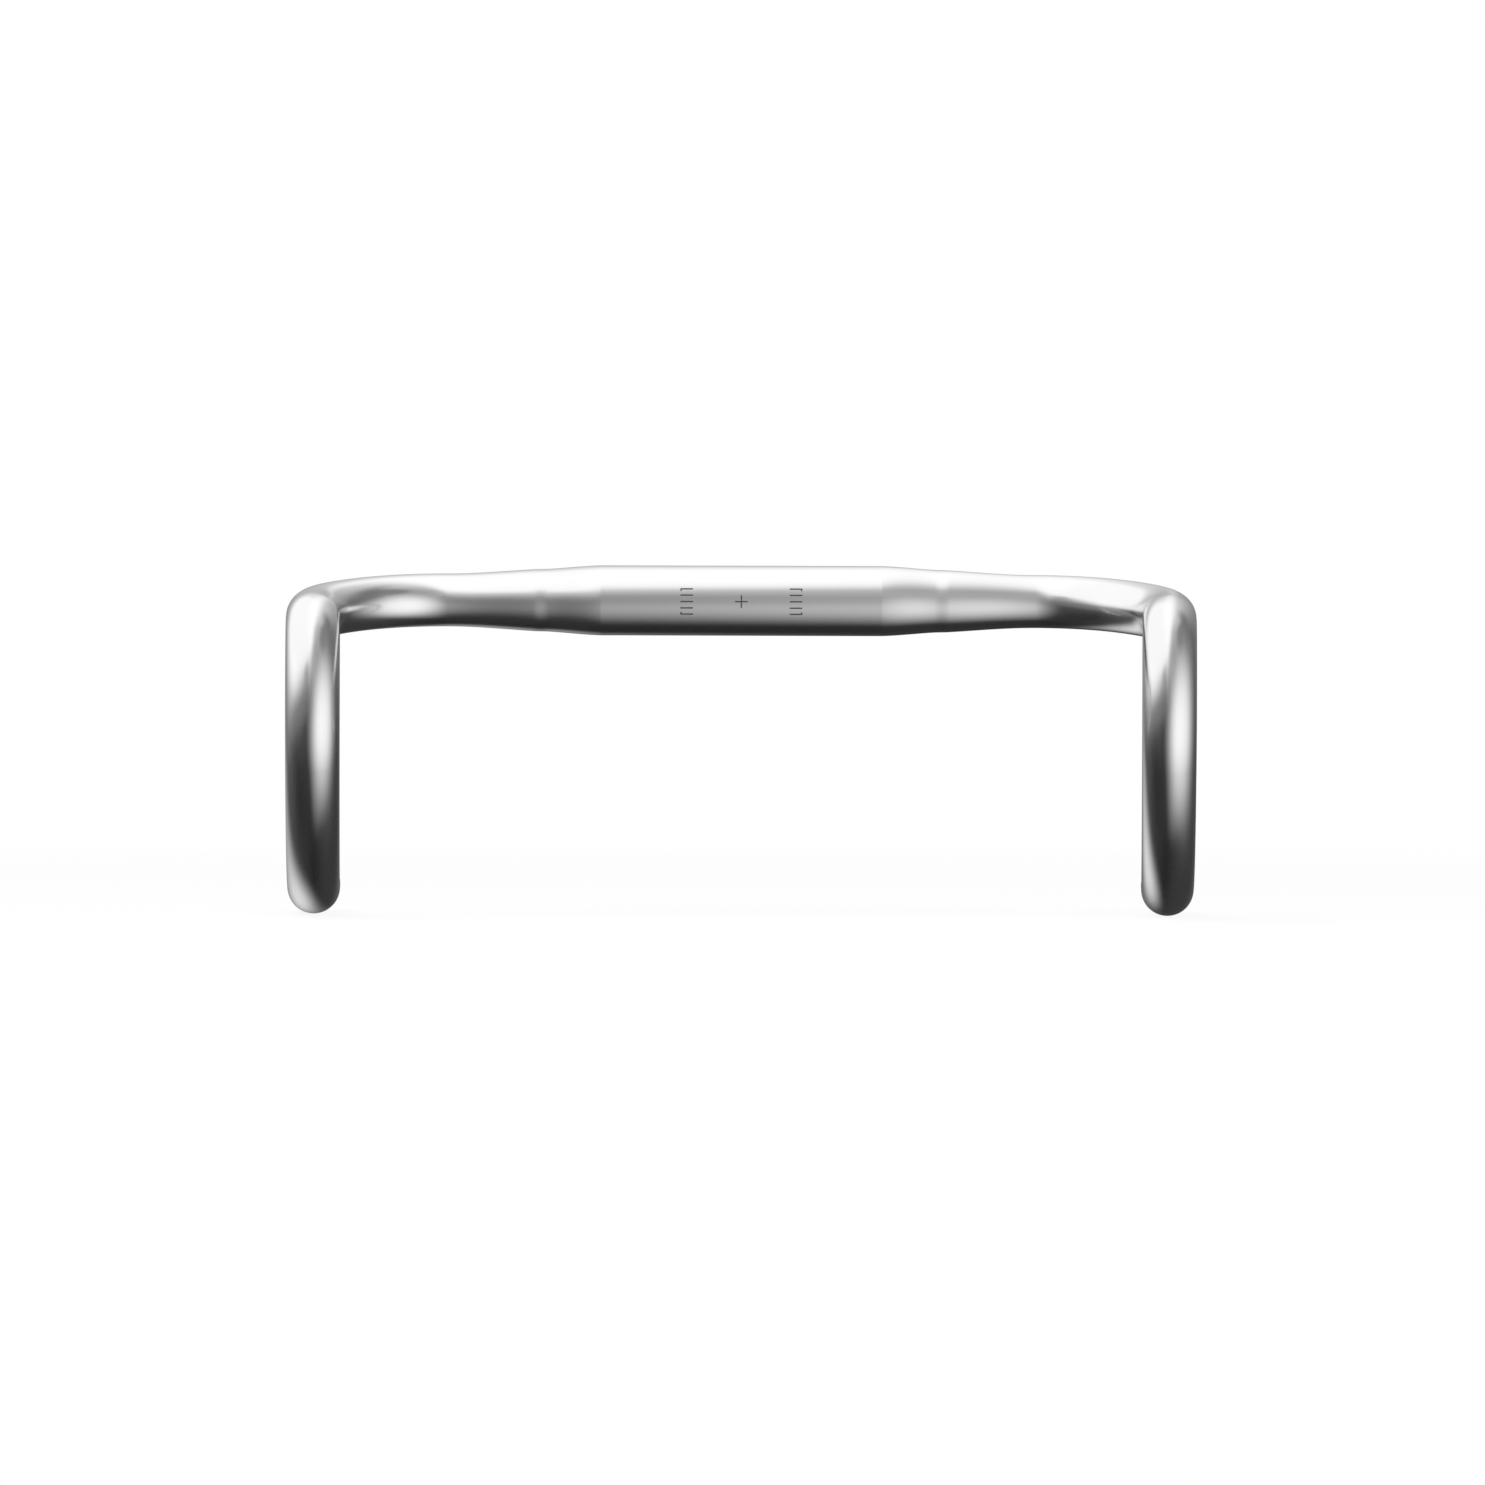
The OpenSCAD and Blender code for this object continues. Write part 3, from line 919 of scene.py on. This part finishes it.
# Picks out the rays that see the room itself; all the others only gather light from it.
SEEING_RAYS = (
    ("path", "ShaderNodeLightPath", {}, {}),
    ("direct", *MAXIMUM, {0: "@path.Is Camera Ray", 1: "@path.Is Glossy Ray"}),
    ("seen", *MAXIMUM, {0: "@direct", 1: "@path.Is Transmission Ray"}),
)


@dataclass
class Studio:
    """The floor, the white room, the lamps, the light tent that the metal reflects, and the camera."""

    camera_place: tuple[float, float, float] = (0.0007, -2.5, -0.0644)
    lens: float = 133.4
    roll: float = 0.17
    room_fill: float = 0.35
    floor_half: float = 12.0
    lit_zone: tuple[float, float] = (0.5, 2.0)  # radii between which the paper fades into the room
    lit_share: float = 0.12
    lit_darkening: float = -0.8
    lamps: tuple[SoftLamp, ...] = (
        SoftLamp("key_softbox", (-0.9, -1.2, 2.0), 1.8, 34.0),
        SoftLamp("fill_softbox", (1.6, -1.6, 0.9), 1.6, 14.0),
    )
    tent_steps: int = 180
    tent_radius: float = 3.5
    tent_base: float = 0.006
    # Rounded output of a least-squares fit of the reflections. The labels only say where a panel hangs.
    panels: tuple[SoftPanel, ...] = (
        SoftPanel(5, 88, 110, 110, 1.0, 0.17),  # grey cloth over the front and the top
        SoftPanel(-84, 45, 46, 46, 0.45, 1.3),  # large softbox at the left end
        SoftPanel(248, 69, 56, 49, 1.0, 1.1),  # softbox behind, on the right
        SoftPanel(61, -16, 33, 29, 1.0, 0.83),  # low softboxes in front, on the right
        SoftPanel(40, -21, 32, 37, 1.0, 1.1),
        SoftPanel(-155, -25, 15, 17, 0.85, 0.8),  # small low bounce behind, on the left
        SoftPanel(-80, 55, 53, 40, 0.1, 1.1),  # upper edge of the left softbox
        SoftPanel(7, 23, 9, 13, 0.15, 0.42),  # grey reflector above the camera
        SoftPanel(-10, 86, 12, 57, 1.0, 1.2),  # overhead strip that whitens the top of the bar
        SoftPanel(-64, -11, 38, 8, 1.0, 0.2),  # dark gaps and seams between the panels
        SoftPanel(150, -29, 22, 23, 0.75, 0.04),
        SoftPanel(-24, 14, 8, 8, 0.5, 0.36),
        SoftPanel(66, 41, 22, 11, 0.25, 0.23),
        SoftPanel(97, 41, 11, 16, 1.0, 0.18),
        SoftPanel(-82, -53, 19, 23, 0.95, 0.03),
    )

    def build(self) -> None:
        """Builds the whole studio around the bar."""
        self.build_room()
        self.build_floor()
        self.build_lamps()
        self.build_tent()
        self.build_camera()
        bpy.context.scene.view_settings.view_transform = "Standard"

    def build_room(self) -> None:
        """Makes the white world, which lights the bar less than it shows."""
        world = bpy.data.worlds.new("white_room")
        bpy.context.scene.world = world
        world.use_nodes = True
        world.node_tree.nodes.clear()
        add_steps(world.node_tree, {}, SEEING_RAYS + (
            ("fill", "ShaderNodeBackground", {}, {
                "Color": linear_colour("#FFFFFF"), "Strength": self.room_fill}),
            ("white", "ShaderNodeBackground", {}, {
                "Color": linear_colour("#FFFFFF"), "Strength": 1.0}),
            ("room", "ShaderNodeMixShader", {}, {0: "@seen", 1: "@fill", 2: "@white"}),
            ("out", "ShaderNodeOutputWorld", {}, {"Surface": "@room"}),
        ))

    def build_floor(self) -> None:
        """Lays white paper under the bar, which keeps the bar's shadow.

        Near the bar the paper is lit, and further out it fades into the room.
        """
        half, level = self.floor_half, CAD_BOX[0].z
        mesh = bpy.data.meshes.new("studio_floor")
        mesh.from_pydata([(-half, -half, level), (half, -half, level), (half, half, level),
                          (-half, half, level)], [], [(0, 1, 2, 3)])
        floor = bpy.data.objects.new("studio_floor", mesh)
        bpy.context.scene.collection.objects.link(floor)
        paper = bpy.data.materials.new("white_paper_floor")
        paper.use_nodes = True
        paper.node_tree.nodes.clear()
        add_steps(paper.node_tree, {}, SEEING_RAYS + (
            ("place", "ShaderNodeTexCoord", {}, {}),
            ("distance", "ShaderNodeVectorMath", {"operation": "LENGTH"}, {0: "@place.Object"}),
            ("near", "ShaderNodeMapRange", {"interpolation_type": "SMOOTHSTEP"}, {
                "Value": "@distance.Value", "From Min": self.lit_zone[0],
                "From Max": self.lit_zone[1], "To Min": self.lit_share, "To Max": 0.0}),
            ("glow", *MULTIPLY_ADD, {0: "@near", 1: self.lit_darkening, 2: 1.0}),
            ("tint", "ShaderNodeCombineColor", {}, {0: "@near", 1: "@near", 2: "@near"}),
            ("lit", "ShaderNodeBsdfDiffuse", {}, {"Color": "@tint"}),
            ("white", "ShaderNodeEmission", {}, {"Strength": "@glow"}),
            ("paper", "ShaderNodeAddShader", {}, {0: "@lit", 1: "@white"}),
            ("plain", "ShaderNodeBsdfDiffuse", {}, {"Color": linear_colour("#E6E6E6")}),
            ("floor", "ShaderNodeMixShader", {}, {0: "@seen", 1: "@plain", 2: "@paper"}),
            ("out", "ShaderNodeOutputMaterial", {}, {"Surface": "@floor"}),
        ))
        mesh.materials.append(paper)
        floor.visible_glossy = False

    def build_lamps(self) -> None:
        """Hangs the large soft lamps, which light the ink and the floor."""
        for soft in self.lamps:
            lamp = bpy.data.lights.new(soft.name, "AREA")
            lamp.shape, lamp.size, lamp.energy = "SQUARE", soft.size, soft.power
            holder = bpy.data.objects.new(soft.name, lamp)
            holder.location = soft.place
            holder.rotation_mode = "QUATERNION"
            holder.rotation_quaternion = (-Vector(soft.place)).to_track_quat("-Z", "Y")
            holder.visible_glossy = False
            holder.visible_camera = False
            bpy.context.scene.collection.objects.link(holder)

    def glow_towards(self, directions: np.ndarray) -> np.ndarray:
        """Works out how bright the tent is in given directions.

        Args:
            directions: Unit vectors, one in each row.

        Returns:
            Brightness for each direction.
        """
        glow = np.full(len(directions), self.tent_base)
        for panel in self.panels:
            azimuth, elevation = math.radians(panel.azimuth), math.radians(panel.elevation)
            facing = np.array((math.sin(azimuth) * math.cos(elevation),
                               -math.cos(azimuth) * math.cos(elevation), math.sin(elevation)))
            right = np.array((math.cos(azimuth), math.sin(azimuth), 0.0))
            up = np.cross(facing, right) * -1
            x, y, z = directions @ right, directions @ up, directions @ facing
            across = np.degrees(np.arctan2(x, z)) / panel.half_width
            over = np.degrees(np.arctan2(y, np.hypot(x, z))) / panel.half_height
            reach = np.hypot(across, over)
            soft = np.clip((1 + panel.edge - reach) / (2 * panel.edge), 0, 1)
            soft = soft * soft * (3 - 2 * soft)
            glow += (panel.glow - glow) * soft
        return glow

    def build_tent(self) -> None:
        """Makes the tent of soft panels that only reflections in the metal see."""
        mesh = bpy.data.meshes.new("light_tent")
        steps = self.tent_steps
        rows = np.linspace(-math.pi / 2, math.pi / 2, steps // 2 + 1)
        turns = np.linspace(0, math.tau, steps + 1)[:-1]
        lift, turn = (v.ravel() for v in np.meshgrid(rows, turns, indexing="ij"))
        rays = np.stack((np.cos(lift) * np.cos(turn), np.cos(lift) * np.sin(turn), np.sin(lift)), 1)
        faces = [(r * steps + c, r * steps + (c + 1) % steps, (r + 1) * steps + (c + 1) % steps,
                  (r + 1) * steps + c) for r in range(steps // 2) for c in range(steps)]
        mesh.from_pydata((rays * self.tent_radius).tolist(), [], faces)
        shine = mesh.attributes.new("panel_glow", "FLOAT", "POINT")
        shine.data.foreach_set("value", self.glow_towards(rays).astype(np.float32))
        cloth = bpy.data.materials.new("tent_cloth")
        cloth.use_nodes = True
        cloth.node_tree.nodes.clear()
        cloth.cycles.emission_sampling = "NONE"
        add_steps(cloth.node_tree, {}, (
            ("glow", "ShaderNodeAttribute", {"attribute_name": "panel_glow"}, {}),
            ("light", "ShaderNodeEmission", {}, {"Strength": "@glow.Fac"}),
            ("out", "ShaderNodeOutputMaterial", {}, {"Surface": "@light"}),
        ))
        mesh.materials.append(cloth)
        tent = bpy.data.objects.new("light_tent", mesh)
        bpy.context.scene.collection.objects.link(tent)
        tent.visible_camera = tent.visible_diffuse = tent.visible_shadow = False
        tent.visible_transmission = tent.visible_volume_scatter = False

    def build_camera(self) -> None:
        """Sets up a level long-lens camera in front of the bar."""
        camera = bpy.data.cameras.new("front_camera")
        camera.sensor_width, camera.lens = 36.0, self.lens
        camera.clip_start, camera.clip_end = 0.1, 60.0
        stand = bpy.data.objects.new("front_camera", camera)
        facing = Matrix.Rotation(math.pi / 2, 4, "X") @ Matrix.Rotation(math.radians(self.roll), 4, "Z")
        stand.matrix_world = Matrix.Translation(self.camera_place) @ facing
        bpy.context.scene.collection.objects.link(stand)
        bpy.context.scene.camera = stand


def main() -> None:
    """Builds the bar, its marks and the studio, and logs how far each piece lies from its CAD box."""
    logging.basicConfig(level=logging.INFO, format="%(levelname)s %(message)s")
    made = FormedTube().build() + AlignmentMarks().build()
    Studio().build()
    LOG.info("%d pieces built", len(made))


if __name__ == "__main__":
    main()
